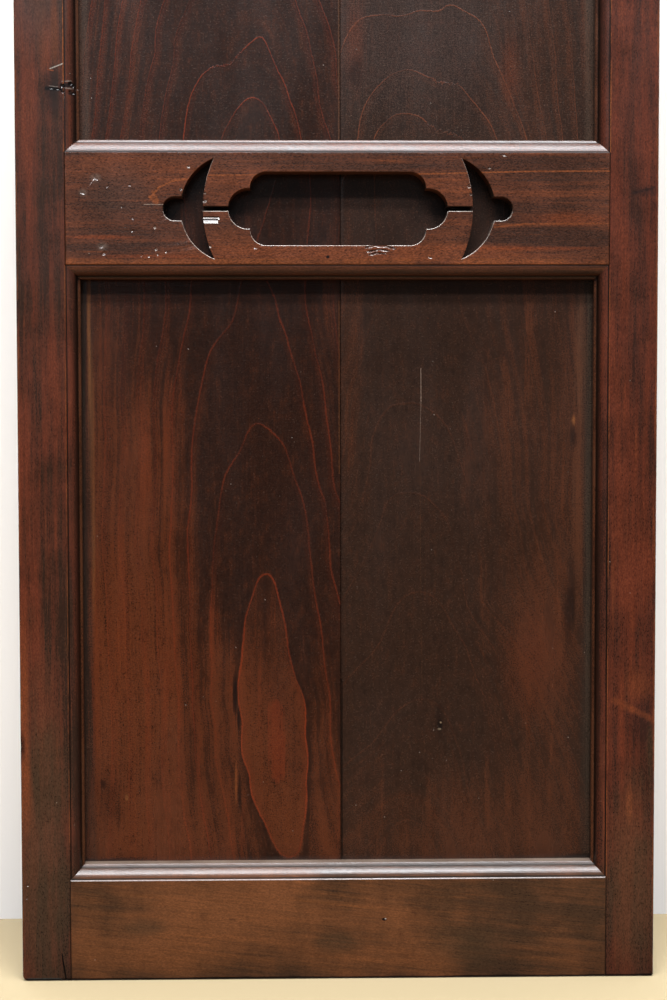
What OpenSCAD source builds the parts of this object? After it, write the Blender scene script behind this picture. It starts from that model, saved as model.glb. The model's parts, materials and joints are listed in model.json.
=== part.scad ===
// Carved temple door leaf. A frame of two stiles, a bottom rail and a top rail holds two upright
// boards in its grooves. A belt rail with an openwork carving crosses the front of the boards, and
// a plain rail crosses their back. The front of the leaf faces -Y, and the origin is at the middle
// of its foot.

/* [Leaf] */
// Overall width of the leaf
leaf_w = 700; // [620:1:950]
// Overall height of the leaf
leaf_h = 1760; // [1500:1:2400]
// Thickness of the stiles, the bottom rail and the top rail
leaf_t = 48; // [45:0.5:70]

/* [Frame] */
// Width of the flat front face of each stile
stile_face = 53.5; // [45:0.5:85]
// Height of the flat front face of the bottom rail
bottom_face = 112; // [80:1:200]
// Height of the flat front face of the top rail
top_face = 96; // [80:1:200]
// Height of the flat front face of the belt rail
belt_face = 121.5; // [115:0.5:180]
// Height of the belt rail's middle above the foot
belt_mid = 849; // [500:1:1100]
// Height of the plain rail behind the boards
back_rail_h = 60; // [40:1:120]
// Chamfer along the plain back rail
back_chamfer = 3; // [0.5:0.5:5]
// Rounding of the outer edges of the stiles
arris_r = 2; // [0.5:0.5:5]

/* [Moulding] */
// Width of the moulding struck on the inner edges of the frame
mould_w = 14.8; // [13:0.1:22]
// Depth of the quirk between the face and the bead
quirk = 1.5; // [0.5:0.1:3]
// Radius of the bead
bead_r = 12; // [11.9:0.1:15]
// Width of the bead, from the quirk to its wall
bead_w = 11.8; // [8:0.1:11.9]
// Depth of the fillet below the face
fillet_d = 12.6; // [11:0.1:14]

/* [Boards] */
// Depth of the boards below the front face of the frame
recess = 28; // [22:0.1:31]
// Thickness of the boards
board_t = 9; // [6:0.1:10]
// How far the boards reach into the grooves of the frame
board_in = 7; // [4:0.1:10]
// Empty depth left in a groove past the edge of a board
board_play = 1; // [0.5:0.1:3]
// Place of the seam between the two boards, from the middle of the leaf
seam_x = 3; // [-60:1:60]
// Open width of the seam
seam_gap = 0.8; // [0.3:0.1:2]
// Length of the tongue in the seam
tongue_l = 5; // [4:0.1:8]
// Thickness of the tongue in the seam
tongue_t = 3; // [2:0.1:4]

/* [Joints] */
// Clearance on each side of a board, a tongue or a tenon
fit = 0.15; // [0.05:0.05:0.3]
// Height of each of the two through tenons on an end of the top and bottom rails
tenon_h = 26; // [16:1:28]
// Thickness of the through tenons
tenon_t = 17; // [10:0.5:20]
// Length of the wedges driven beside a through tenon
wedge_l = 32; // [15:1:45]
// Thickness of a wedge at its outer end
wedge_h = 3; // [1.5:0.1:5]
// Thickness of a wedge at its inner end
wedge_tip = 0.6; // [0.3:0.1:1]
// Length of the blind tenons of the belt rail
belt_tenon_l = 30; // [10:1:40]
// Height of each of the two blind tenons on an end of the belt rail
belt_tenon_h = 32; // [15:1:35]
// Thickness of the blind tenons of the belt rail
belt_tenon_t = 10; // [6:0.1:12]
// Depth of the blind tenons of the belt rail below its face
belt_tenon_d = 9; // [5:0.1:12]
// Length of the blind tenons of the back rail
back_tenon_l = 20; // [8:1:40]
// Shoulder around the blind tenons of the back rail
back_shoulder = 3; // [2:0.1:4]

/* [Carving] */
// Length of the middle part of the cartouche
cartouche_l = 191.5; // [150:0.5:196]
// Height of the cartouche
cartouche_h = 79.5; // [62:0.5:96]
// Rounding of the corners of the cartouche
cartouche_r = 17.5; // [8:0.5:25]
// Radius of the round lobe at each end of the cartouche
lobe_r = 22; // [15:0.5:25]
// Distance of a lobe's centre past the end of the middle part
lobe_out = 1.9; // [0:0.1:5]
// Height of the slot between a lobe and a crescent
slot_h = 5.2; // [4.2:0.1:8]
// Distance from the middle of the leaf to the tips of a crescent
tip_x = 135; // [130:0.5:138]
// Height of a crescent's tips above and below the belt's middle
tip_z = 54.2; // [45:0.1:56]
// Depth of a crescent's hollow side past its tips
hollow_d = 12.1; // [10:0.1:20]
// Width of a crescent at its middle
crescent_w = 24.3; // [18:0.1:30]
// Radius of the bud on a crescent's full side
bud_r = 13; // [10:0.5:16]
// Distance of the bud's centre past the crescent's full side
bud_out = 6.1; // [0:0.1:8]

/* [Hidden] */
$fn = 96;

// Overrun of a cut past the face that it opens
over = 1;
// How far a tenon starts inside its rail
tenon_root = 5;
leaf_half = leaf_w / 2;
// Half widths of the leaf at the stiles' inner arrises and at the open panel field
face_half = leaf_half - stile_face;
open_half = face_half - mould_w;
// Depths of the front and back walls of the grooves below the front face
groove_front = recess - fit;
groove_back = recess + board_t + fit;
groove_d = board_in + board_play;
// Depths of the cheeks of the through tenons, whose back lies in line with the boards' back
tenon_back = recess + board_t;
tenon_front = tenon_back - tenon_t;
// Lower and upper edges of the panel field, and of the belt rail's face
field_low = bottom_face + mould_w;
field_high = leaf_h - top_face - mould_w;
belt_low = belt_mid - belt_face / 2;
belt_high = belt_mid + belt_face / 2;
// Depths of the back rail's tenons, and of the front of the tongue in the seam
back_tenon_front = groove_back + back_shoulder;
back_tenon_back = leaf_t - back_shoulder;
tongue_front = recess + (board_t - tongue_t) / 2;
// Hollow and full sides of a crescent, from the middle of the leaf
hollow_x = tip_x + hollow_d;
full_x = hollow_x + crescent_w;

stile_colour = "#4a2418";
rail_colour = "#4e2a1a";
belt_colour = "#55301f";
board_colour = "#38221a";
wedge_colour = "#5b3a26";

// Height of the foot of through tenon number i above the outer edge of a rail
function tenon_foot(face, i) =
    let (room = face + mould_w - groove_d - 2 * tenon_h)
    room / 3 + i * (tenon_h + room / 3);

// Height of the foot of blind tenon number i of the belt rail
function belt_tenon_foot(i) =
    let (room = belt_face - 2 * belt_tenon_h)
    belt_low + room / 3 + i * (belt_tenon_h + room / 3);

// Centre of the arc that runs from tip to tip of a crescent through its side at side_x
function crescent_centre(side_x) =
    (side_x * side_x - tip_x * tip_x - tip_z * tip_z) / (2 * (side_x - tip_x));

// Stands a drawing in X and Z up as a slab between two depths below the front face
module upright(from, to) {
    translate([0, to - leaf_t / 2, 0]) rotate([90, 0, 0]) linear_extrude(to - from) children();
}

// Runs a section, drawn as depth and height, along the width of the leaf
module across(half) {
    translate([-half, -leaf_t / 2, 0]) rotate([90, 0, 90]) linear_extrude(2 * half) children();
}

// Moulded edge as distance from the arris and depth below the face: bead, wall and fillet
module moulded_edge(back) {
    translate([0, fillet_d]) square([mould_w, back - fillet_d]);
    intersection() {
        translate([0, quirk]) square([bead_w, fillet_d - quirk]);
        translate([0, quirk + bead_r]) circle(bead_r);
    }
}

// Groove for the boards in a moulded edge
module edge_groove() {
    translate([mould_w - groove_d, groove_front]) square([groove_d + over, groove_back - groove_front]);
}

// Waste between a sharp corner at the origin and its rounding
module corner_waste() {
    difference() {
        translate([-over, -over]) square(arris_r + over);
        translate([arris_r, arris_r]) circle(arris_r);
    }
}

// Section of a stile, from its outer edge at -stile_face to the panel field
module stile_section() {
    difference() {
        union() {
            translate([-stile_face, 0]) square([stile_face, leaf_t]);
            moulded_edge(leaf_t);
        }
        edge_groove();
        translate([-stile_face, 0]) corner_waste();
        translate([-stile_face, leaf_t]) mirror([0, 1, 0]) corner_waste();
    }
}

// Section of a frame rail, from its outer edge at height 0 up to its moulded edge
module frame_rail_section(face) {
    difference() {
        union() {
            square([leaf_t, face]);
            translate([0, face]) mirror([1, -1, 0]) moulded_edge(leaf_t);
        }
        translate([0, face]) mirror([1, -1, 0]) edge_groove();
    }
}

// Section of the belt rail, moulded on both edges and no deeper than the boards
module belt_section() {
    translate([0, belt_low]) square([groove_front, belt_face]);
    translate([0, belt_high]) mirror([1, -1, 0]) moulded_edge(groove_front);
    translate([0, belt_low]) mirror([0, 1, 0]) mirror([1, -1, 0]) moulded_edge(groove_front);
}

// Front outline of a rail with mitres on its moulded edges
module rail_front(low, high, moulded_below) {
    lower = moulded_below
        ? [[-face_half, low], [-open_half, low - mould_w], [open_half, low - mould_w], [face_half, low]]
        : [[-face_half, low], [face_half, low]];
    upper = [[face_half, high], [open_half, high + mould_w], [-open_half, high + mould_w],
             [-face_half, high]];
    polygon(concat(lower, upper));
}

// Cuts or fills at the two through tenons on both ends of a frame rail
module at_through_tenons(face) {
    for (side = [0, 1], i = [0, 1])
        mirror([side, 0, 0]) translate([0, 0, tenon_foot(face, i)]) children();
}

// One through tenon or its mortise, from the shoulder to past the outer edge by extra
module through_tenon(from, to, extra) {
    start = open_half - tenon_root;
    upright(from, to) translate([start, 0]) square([leaf_half - start + extra, tenon_h]);
}

// The two wedges above and below a through tenon, or their seats
module wedge_pair(from, to, extra) {
    slope = (wedge_h - wedge_tip) / wedge_l;
    outline = [[leaf_half - wedge_l, 0], [leaf_half + extra, 0],
               [leaf_half + extra, wedge_h + slope * extra], [leaf_half - wedge_l, wedge_tip]];
    upright(from, to) {
        translate([0, tenon_h]) polygon(outline);
        mirror([0, 1, 0]) polygon(outline);
    }
}

// The blind tenons on one end of the belt rail, or their mortises, larger by room all round
module belt_tenons(room) {
    for (i = [0, 1])
        upright(belt_tenon_d - room, belt_tenon_d + belt_tenon_t + room)
            translate([face_half - tenon_root, belt_tenon_foot(i) - room])
                square([tenon_root + belt_tenon_l + room, belt_tenon_h + 2 * room]);
}

// The blind tenon on one end of the back rail, or its mortise, larger by room all round
module back_tenon(room) {
    tenon_half = back_rail_h / 2 - back_shoulder + room;
    upright(back_tenon_front - room, back_tenon_back + room)
        translate([open_half - tenon_root, belt_mid - tenon_half])
            square([tenon_root + back_tenon_l + room, 2 * tenon_half]);
}

// All that a frame rail takes out of the right stile
module frame_rail_seat(face) {
    upright(-over, groove_front) translate([0, -over]) rail_front(0, face + over, false);
    for (i = [0, 1]) translate([0, 0, tenon_foot(face, i)]) {
        through_tenon(tenon_front - fit, tenon_back + fit, over);
        wedge_pair(tenon_front - fit, tenon_back + fit, over);
    }
}

// Right stile: moulded, grooved and cut for the rails that meet it
module stile() {
    color(stile_colour) difference() {
        mirror([1, 0, 0]) translate([-face_half, -leaf_t / 2, 0])
            linear_extrude(leaf_h) stile_section();
        frame_rail_seat(bottom_face);
        translate([0, 0, leaf_h]) mirror([0, 0, 1]) frame_rail_seat(top_face);
        upright(-over, groove_front) rail_front(belt_low, belt_high, true);
        belt_tenons(fit);
        back_tenon(fit);
    }
}

// A frame rail standing on its outer edge, with haunches and through tenons on both ends
module frame_rail(face) {
    edge = face + mould_w;
    color(rail_colour) {
        intersection() {
            across(face_half) frame_rail_section(face);
            union() {
                upright(-over, groove_front) rail_front(0, face, false);
                upright(groove_front, leaf_t + over)
                    translate([-open_half, -over]) square([2 * open_half, edge + 2 * over]);
            }
        }
        upright(recess, recess + board_t)
            translate([-open_half - board_in, 0]) square([2 * (open_half + board_in), edge - groove_d]);
        at_through_tenons(face) through_tenon(tenon_front, tenon_back, 0);
    }
}

module left_stile() { mirror([1, 0, 0]) stile(); }

module right_stile() { stile(); }

module bottom_rail() { frame_rail(bottom_face); }

module top_rail() { translate([0, 0, leaf_h]) mirror([0, 0, 1]) frame_rail(top_face); }

// Long cartouche with a round lobe at each end
module cartouche() {
    middle = [cartouche_l / 2 - cartouche_r, cartouche_h / 2 - cartouche_r];
    square([cartouche_l, cartouche_h - 2 * cartouche_r], center = true);
    square([cartouche_l - 2 * cartouche_r, cartouche_h], center = true);
    for (x = [-1, 1], z = [-1, 1]) translate([x * middle[0], z * middle[1]]) circle(cartouche_r);
    for (x = [-1, 1]) translate([x * (cartouche_l / 2 + lobe_out), 0]) circle(lobe_r);
}

// Crescent on the right, with a round bud on a short neck on its full side
module crescent() {
    full_c = crescent_centre(full_x);
    hollow_c = crescent_centre(hollow_x);
    difference() {
        translate([full_c, 0]) circle(full_x - full_c);
        translate([hollow_c, 0]) circle(hollow_x - hollow_c);
    }
    translate([full_x + bud_out, 0]) circle(bud_r);
    translate([full_x - crescent_w / 2, -bud_r]) square([crescent_w / 2 + bud_out, 2 * bud_r]);
}

// Openwork of the belt rail, drawn about the belt's middle
module openwork() {
    cartouche();
    square([2 * hollow_x + crescent_w, slot_h], center = true);
    for (side = [0, 1]) mirror([side, 0, 0]) crescent();
}

module belt_rail() {
    color(belt_colour) {
        difference() {
            intersection() {
                across(face_half) belt_section();
                upright(-over, groove_front + over) rail_front(belt_low, belt_high, true);
            }
            upright(-over, groove_front + over) translate([0, belt_mid]) openwork();
        }
        for (side = [0, 1]) mirror([side, 0, 0]) belt_tenons(0);
    }
}

module back_rail() {
    half = back_rail_h / 2;
    flat = half - back_chamfer;
    color(rail_colour) {
        across(open_half) translate([0, belt_mid]) polygon([
            [groove_back, -half], [leaf_t - back_chamfer, -half], [leaf_t, -flat],
            [leaf_t, flat], [leaf_t - back_chamfer, half], [groove_back, half]]);
        for (side = [0, 1]) mirror([side, 0, 0]) back_tenon(0);
    }
}

// A block between two places across the leaf and two depths, from the foot of the boards on the
// bottom rail's groove to their top, and longer by extra at both ends
module board_block(from_x, to_x, from, to, extra) {
    foot = field_low - groove_d - extra;
    translate([from_x, from - leaf_t / 2, foot])
        cube([to_x - from_x, to - from, field_high + board_in + extra - foot]);
}

module left_board() {
    edge = seam_x - seam_gap / 2;
    color(board_colour) difference() {
        board_block(-open_half - board_in, edge, recess, recess + board_t, 0);
        board_block(edge - tongue_l, edge + over, tongue_front - fit, tongue_front + tongue_t + fit, over);
    }
}

module right_board() {
    edge = seam_x + seam_gap / 2;
    color(board_colour) {
        board_block(edge, open_half + board_in, recess, recess + board_t, 0);
        board_block(edge - tongue_l, edge, tongue_front, tongue_front + tongue_t, 0);
    }
}

module tenon_wedges() {
    color(wedge_colour) {
        at_through_tenons(bottom_face) wedge_pair(tenon_front, tenon_back, 0);
        translate([0, 0, leaf_h]) mirror([0, 0, 1])
            at_through_tenons(top_face) wedge_pair(tenon_front, tenon_back, 0);
    }
}

left_stile();
right_stile();
bottom_rail();
top_rail();
belt_rail();
back_rail();
left_board();
right_board();
tenon_wedges();
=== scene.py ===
# %% [markdown]
# # A carved temple door
# The real thing is a leaf of dark lacquered wood. Two stiles and two rails hold a pair of upright
# boards, and a belt rail with an openwork carving crosses their front. All shapes and sizes are
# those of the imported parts, which are loaded here as a fixed frame. What is left to do is the
# hand of the joiner and of the years: rounded arrises, chips, grain, stain and gloss.

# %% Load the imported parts
import json
from math import cos, radians, sin

import bpy
import numpy as np
from mathutils import Matrix, Vector

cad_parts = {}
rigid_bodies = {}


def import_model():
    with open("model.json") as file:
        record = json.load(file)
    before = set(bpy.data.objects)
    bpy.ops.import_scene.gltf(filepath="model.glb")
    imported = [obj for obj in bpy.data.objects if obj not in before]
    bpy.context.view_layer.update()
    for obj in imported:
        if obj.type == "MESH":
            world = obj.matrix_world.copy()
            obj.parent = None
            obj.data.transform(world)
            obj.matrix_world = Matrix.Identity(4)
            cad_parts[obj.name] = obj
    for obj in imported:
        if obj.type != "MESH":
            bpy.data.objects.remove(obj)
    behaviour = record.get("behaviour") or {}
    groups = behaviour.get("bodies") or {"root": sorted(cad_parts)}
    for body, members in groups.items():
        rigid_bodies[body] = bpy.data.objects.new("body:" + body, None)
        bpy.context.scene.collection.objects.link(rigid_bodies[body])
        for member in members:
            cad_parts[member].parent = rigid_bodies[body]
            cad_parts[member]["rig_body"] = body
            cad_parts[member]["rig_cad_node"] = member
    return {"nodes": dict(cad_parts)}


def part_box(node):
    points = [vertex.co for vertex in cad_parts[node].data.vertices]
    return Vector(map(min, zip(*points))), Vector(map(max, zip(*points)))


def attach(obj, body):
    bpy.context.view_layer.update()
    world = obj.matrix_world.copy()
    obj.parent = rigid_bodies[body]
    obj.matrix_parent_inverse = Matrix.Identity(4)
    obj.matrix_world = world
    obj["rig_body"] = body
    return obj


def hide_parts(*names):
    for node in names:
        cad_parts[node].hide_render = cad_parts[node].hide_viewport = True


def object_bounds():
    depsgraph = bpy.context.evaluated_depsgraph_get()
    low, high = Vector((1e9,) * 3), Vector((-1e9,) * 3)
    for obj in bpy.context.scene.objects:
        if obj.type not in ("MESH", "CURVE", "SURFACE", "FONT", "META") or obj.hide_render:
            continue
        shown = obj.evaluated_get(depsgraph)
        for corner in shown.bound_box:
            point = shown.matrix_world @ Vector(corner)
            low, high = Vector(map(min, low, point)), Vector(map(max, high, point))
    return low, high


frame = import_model()
cad_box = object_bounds()
MM = 0.001
print("parts:", ", ".join(sorted(frame["nodes"])))

# %% [markdown]
# ## Places on the leaf
# The front of the leaf faces -Y. A few planes are needed again and again: the face of the frame,
# the face of the boards behind it, and the lines where the flat face ends and the moulding
# starts. They could be typed in, but reading them off the parts' boxes keeps them true if a size
# changes, so only the depth of the moulding is written down.

# %% Planes and lines of the leaf
low, high = cad_box
FRONT = low.y
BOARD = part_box("left_board")[0].y
BELT_LOW, BELT_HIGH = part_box("belt_rail")[0].z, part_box("belt_rail")[1].z
FIELD = high.x - (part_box("right_stile")[1].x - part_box("right_stile")[0].x)
MOULD = 14.8 * MM
FILLET = FRONT + 12.6 * MM
FACE = FIELD + MOULD
FACE_LOW, FACE_HIGH = BELT_LOW + MOULD, BELT_HIGH - MOULD
FOOT_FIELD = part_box("bottom_rail")[1].z
FOOT_FACE = FOOT_FIELD - MOULD
print(f"face at y {FRONT:.4f}, boards at y {BOARD:.4f}, panel field out to x {FIELD:.4f}")

# %% [markdown]
# ## Camera
# The picture was taken from a little left of the middle and below the belt, looking slightly
# down. A tracking constraint could aim the camera, but it can't give the small roll, so the three
# axes are worked out and put into the camera's matrix.

# %% Camera
EYE = Vector((-0.0563, -2.2119, 0.6481))
YAW, PITCH, ROLL = radians(1.331), radians(3.045), radians(0.079)

sight = Vector((sin(YAW) * cos(PITCH), cos(YAW) * cos(PITCH), -sin(PITCH)))
level = Vector((cos(YAW), -sin(YAW), 0))
downward = sight.cross(level)
right = level * cos(ROLL) + downward * sin(ROLL)
bpy.ops.object.camera_add()
camera = bpy.context.object
camera.name = "camera"
camera.data.lens, camera.data.sensor_width = 72, 36
turn = Matrix((right, -sight.cross(right), -sight)).transposed()
camera.matrix_world = Matrix.Translation(EYE) @ turn.to_4x4()
bpy.context.scene.camera = camera
print("camera at", tuple(round(v, 3) for v in EYE))

# %% [markdown]
# ## Shader sums in plain Python
# A finish is a sum of many small patterns. Wiring each sum by hand hides what it means, so one
# small class holds a node's output and lets Python's own signs add the Math nodes. Every other
# node comes from its one method, which sets the node first and then feeds its sockets. The sky and
# the stage are wired in the same way.

# %% The wire class


class Wire:
    """One output of a shader node, on which sums can be written as in Python."""

    def __init__(self, tree, socket):
        self.tree, self.socket = tree, socket

    def node(self, kind, settings=None, inputs=None, output=0):
        """Adds a node: its type, its settings, and the values or wires of its sockets."""
        made = self.tree.nodes.new("ShaderNode" + kind)
        for name, value in (settings or {}).items():
            setattr(made, name, value)
        for name, value in (inputs or {}).items():
            if isinstance(value, Wire):
                self.tree.links.new(value.socket, made.inputs[name])
            else:
                made.inputs[name].default_value = value
        return Wire(self.tree, made.outputs[output])

    def math(self, operation, *values):
        return self.node("Math", {"operation": operation}, dict(enumerate(values)))

    def __add__(self, other):
        return self.math("ADD", self, other)

    def __sub__(self, other):
        return self.math("SUBTRACT", self, other)

    def __mul__(self, other):
        return self.math("MULTIPLY", self, other)

    def __truediv__(self, other):
        return self.math("DIVIDE", self, other)

    def __rsub__(self, other):
        return self.math("SUBTRACT", other, self)

    __radd__, __rmul__ = __add__, __mul__

    def __abs__(self):
        return self.math("ABSOLUTE", self)


# %% Small patterns that all the finishes share


def length(u, v):
    """Length of a step with these two sides."""
    square = u * u + v * v
    return square.math("SQRT", square)


def attribute(place, name):
    """A number that the mesh itself carries."""
    return place.node("Attribute", {"attribute_name": name}, None, "Fac")


def tint(code):
    """Linear colour of a six-digit colour code, as colour sockets need it."""
    parts = [int(code[i:i + 2], 16) / 255 for i in (0, 2, 4)]
    return tuple(c / 12.92 if c <= 0.04045 else ((c + 0.055) / 1.055) ** 2.4 for c in parts)


def ease(wire, start, end, low=0.0, high=1.0):
    """Goes smoothly from low to high while the wire goes from start to end."""
    return wire.node("MapRange", {"interpolation_type": "SMOOTHSTEP"}, {
        "Value": wire, "From Min": start, "From Max": end, "To Min": low, "To Max": high})


def blend(under, over, share, how="MIX"):
    """Lays one colour over another. Each is a wire, a linear colour or a six-digit colour code."""
    wire = next(w for w in (share, under, over) if isinstance(w, Wire))
    colours = [tint(c) if isinstance(c, str) else c for c in (under, over)]
    under, over = (c if isinstance(c, Wire) else (*c, 1) for c in colours)
    settings = {"data_type": "RGBA", "blend_type": how}
    return wire.node("Mix", settings, {0: share, 6: under, 7: over}, 2)


def noise(place, scale, detail=2.0, rough=0.5, shift=(0, 0, 0)):
    """Cloudy values about 0.5, with its own scale along each axis."""
    moved = place.node("Mapping", None, {"Vector": place, "Location": shift, "Scale": scale})
    return place.node("TexNoise", None, {
        "Vector": moved, "Scale": 1.0, "Detail": detail, "Roughness": rough})


def patch(x, z, spot, soft, wobble=0):
    """A soft oval on the front, with a 1 in its middle.

    The spot holds its centre and its half sizes in millimetres.
    """
    middle_x, middle_z, half_x, half_z = (c * MM for c in spot)
    away = length((x - middle_x) / half_x, (z - middle_z) / half_z) + wobble
    return ease(away, 1 + soft, 1 - soft)


def span(wire, start, end, soft):
    """1 between two places along a wire and 0 outside, in millimetres."""
    return ease(wire, (start - soft) * MM, start * MM) * ease(wire, (end + soft) * MM, end * MM)


def stroke(x, z, run, width, wobble=0):
    """A line from one place to another with soft sides and round ends, in millimetres."""
    x0, z0, x1, z1 = run
    u, v = x / MM - x0, z / MM - z0
    dx, dz = x1 - x0, z1 - z0
    along = (u * dx + v * dz) / (dx * dx + dz * dz)
    along = along.math("MINIMUM", along.math("MAXIMUM", along, 0.0), 1.0)
    u, v = u - along * dx, v - along * dz
    away = length(u, v) + wobble * width
    return ease(away, 1.1 * width, 0.3 * width)


def specks(place, pitch, radius, share):
    """Small dots in a share of the cells of a grid. Pitch and radius are in millimetres."""
    cells = place.node("Mapping", None, {"Vector": place, "Scale": (1 / (pitch * MM),) * 3})
    dots = place.node("TexVoronoi", None, {"Vector": cells, "Scale": 1.0})
    pick = place.node("TexVoronoi", None, {"Vector": cells, "Scale": 1.0}, "Color")
    chosen = place.node("SeparateColor", None, {"Color": pick})
    picked = chosen.math("LESS_THAN", chosen, share)
    return ease(dots, radius / pitch, 0.4 * radius / pitch) * picked


def start_finish(name):
    """A new material with its Object coordinates, as a place and as separate x, y and z wires."""
    material = bpy.data.materials.new(name)
    material.use_nodes = True
    tree = material.node_tree
    coordinate = tree.nodes.new("ShaderNodeTexCoord")
    place = Wire(tree, coordinate.outputs["Object"])
    axes = [place.node("SeparateXYZ", None, {0: place}, i) for i in range(3)]
    return material, place, axes


def lacquer(material, colour, coats, rough, height, depth, stain, tooth):
    """Lays coats of colour on the wood, each with its share, and feeds the shader.

    The stain and the fine tooth darken all of it. The height is a relief of that depth in metres.
    """
    shader = material.node_tree.nodes["Principled BSDF"]
    for tone, share in coats:
        colour = blend(colour, tone, share)
    colour = blend(colour, stain, 1.0, "MULTIPLY")
    colour = blend(colour, tooth + 1.0, 1.0, "MULTIPLY")
    relief = height.node("Bump", None, {"Height": height, "Distance": depth, "Strength": 1.0})
    for name, wire in (("Base Color", colour), ("Roughness", rough), ("Normal", relief)):
        material.node_tree.links.new(wire.socket, shader.inputs[name])
    shader.inputs["IOR"].default_value = 1.5


# %% [markdown]
# ## Light
# Three strips of light hang in front of the leaf, one above the other. They throw the double
# shadow under the belt, and they are what the upper sides of the mouldings mirror. Sun lamps would
# throw the same shadows, but a glossy bead shows the lamp itself, so the lamps need a size. A
# weaker strip below them is seen in the gloss alone and draws the line along the front of the
# beads, and a small panel at the left lays a sheen on the upper boards. A warm lamp stands for what
# the floor throws back, a weak sky fills the rest, and one lamp lights the back of the leaf.

# %% Lamps
AIM = Vector((0, FRONT, 0.7))


def strip_lamp(name, azimuth, elevation, distance, size, power):
    """A rectangular lamp that looks at the leaf from the given side and height."""
    a, e = radians(azimuth), radians(elevation)
    back = Vector((sin(a) * cos(e), -cos(a) * cos(e), sin(e)))
    bpy.ops.object.light_add(type="AREA", location=AIM + back * distance)
    lamp = bpy.context.object
    lamp.name = name
    lamp.data.shape = "RECTANGLE"
    lamp.data.size, lamp.data.size_y = size
    lamp.data.energy = power
    lamp.rotation_euler = back.to_track_quat("Z", "Y").to_euler()
    lamp.data.color = (0.93, 0.96, 1.0)
    lamp.visible_camera = False
    return lamp


# Name, azimuth and elevation in degrees, distance and size in metres, power in watts
LAMPS = (
    ("low_strip", -5, 45, 4.6, (3.4, 0.3), 245),
    ("high_strip", 6, 55, 4.6, (3.4, 0.3), 365),
    ("top_strip", 0, 78, 4.6, (3.4, 0.4), 260),
    ("edge_strip", 0, 36, 4.6, (3.4, 0.25), 26),
    ("left_panel", -15, 14, 3.0, (0.42, 0.8), 0.55),
    ("back_lamp", 205, 35, 4.5, (2.5, 2.0), 60),
    ("floor_bounce", 0, -90, AIM.z - 0.004, (1.5, 0.7), 6.0),
)
lamps = {row[0]: strip_lamp(*row) for row in LAMPS}
lamps["edge_strip"].visible_diffuse = False
bounce = lamps["floor_bounce"]
bounce.location.y = FRONT - 0.45
bounce.data.color = (1.0, 0.8, 0.55)
bounce.visible_glossy = False
print("lamps:", ", ".join(lamps))

# %% Sky
sky = bpy.data.worlds.new("studio")
bpy.context.scene.world = sky
sky.use_nodes = True
tree = sky.node_tree
ray = Wire(tree, tree.nodes.new("ShaderNodeTexCoord").outputs["Generated"])
height = ray.node("SeparateXYZ", None, {0: ray}, "Z")


def glow(colour, start, end, low, high):
    """A background with one strength at a ray's start height and another at its end height."""
    strength = height.node("MapRange", None, {
        "Value": height, "From Min": start, "From Max": end, "To Min": low, "To Max": high})
    return height.node("Background", None, {"Color": (*colour, 1), "Strength": strength})


above = glow((0.93, 0.95, 1.0), 0.02, 0.2, 0.01, 0.17)
below = glow((1.0, 0.74, 0.45), -0.1, -0.6, 0.0, 0.2)
both = height.node("AddShader", None, {0: above, 1: below})
backdrop = tree.nodes["Background"]
backdrop.inputs["Color"].default_value = (0.86, 0.84, 0.82, 1)
seen = Wire(tree, backdrop.outputs["Background"])
to_camera = height.node("LightPath", None, None, "Is Camera Ray")
choice = height.node("MixShader", None, {"Fac": to_camera, 1: both, 2: seen})
tree.links.new(choice.socket, tree.nodes["World Output"].inputs["Surface"])
bpy.context.scene.view_settings.view_transform = "Standard"
print("sky:", sky.name)

# %% [markdown]
# ## Floor and wall
# The leaf stands on a pale floor, close before a white wall. The wall is a plane with one side:
# its back lets sight through, so that the leaf can also be looked at from behind.

# %% Stage
STAGE, WALL_GAP = 14, 0.265
bpy.ops.object.select_all(action="DESELECT")
bpy.ops.mesh.primitive_plane_add(size=STAGE, location=(0, 0, -0.4 * MM))
floor = bpy.context.object
floor.name = "floor"
bpy.ops.mesh.primitive_plane_add(size=STAGE, location=(0, FRONT + WALL_GAP, 0),
                                 rotation=(radians(90), 0, 0))
wall = bpy.context.object
wall.name = "wall"
wall.visible_shadow = False
floor.visible_diffuse = floor.visible_glossy = floor.visible_shadow = False


def plain_stage(name, colour, right_shade=1.0):
    """A dull finish with a trace of mottle, and painted shade that darkens it to the right."""
    material, place, (x, _, _) = start_finish(name)
    shader = material.node_tree.nodes["Principled BSDF"]
    mottle = noise(place, (3, 3, 3), 3)
    tone = blend(tuple(0.97 * c for c in colour), colour, mottle)
    tone = blend(tone, tuple(right_shade * c for c in colour), ease(x, 0.1, 0.4))
    material.node_tree.links.new(tone.socket, shader.inputs["Base Color"])
    shader.inputs["Roughness"].default_value = 0.75
    return material


floor.data.materials.append(plain_stage("pale_floor", tint("988868")))
# The wall gets painted shade towards its right side.
white = plain_stage("white_wall", tint("ece6df"), 0.87)
tree = white.node_tree
paint = Wire(tree, tree.nodes["Principled BSDF"].outputs["BSDF"])
behind = paint.node("NewGeometry", None, None, "Backfacing")
sides = paint.node("MixShader", None, {"Fac": behind, 1: paint, 2: paint.node("BsdfTransparent")})
tree.links.new(sides.socket, tree.nodes["Material Output"].inputs["Surface"])
wall.data.materials.append(white)
print("stage:", floor.name, wall.name)

# %% [markdown]
# ## Working on a copy of a part
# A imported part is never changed. Where its edges need the plane and the chisel, a copy stands in
# for it. The copy comes as loose triangles, so it is merged first, and its flat faces are made
# whole. Then its sharp edges can be picked by where they lie, and rounded.

# %% Helpers for copies


def activate(piece):
    """Makes one object the only selected and active one, in Object Mode."""
    if bpy.context.mode != "OBJECT":
        bpy.ops.object.mode_set(mode="OBJECT")
    bpy.ops.object.select_all(action="DESELECT")
    piece.select_set(True)
    bpy.context.view_layer.objects.active = piece


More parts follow.
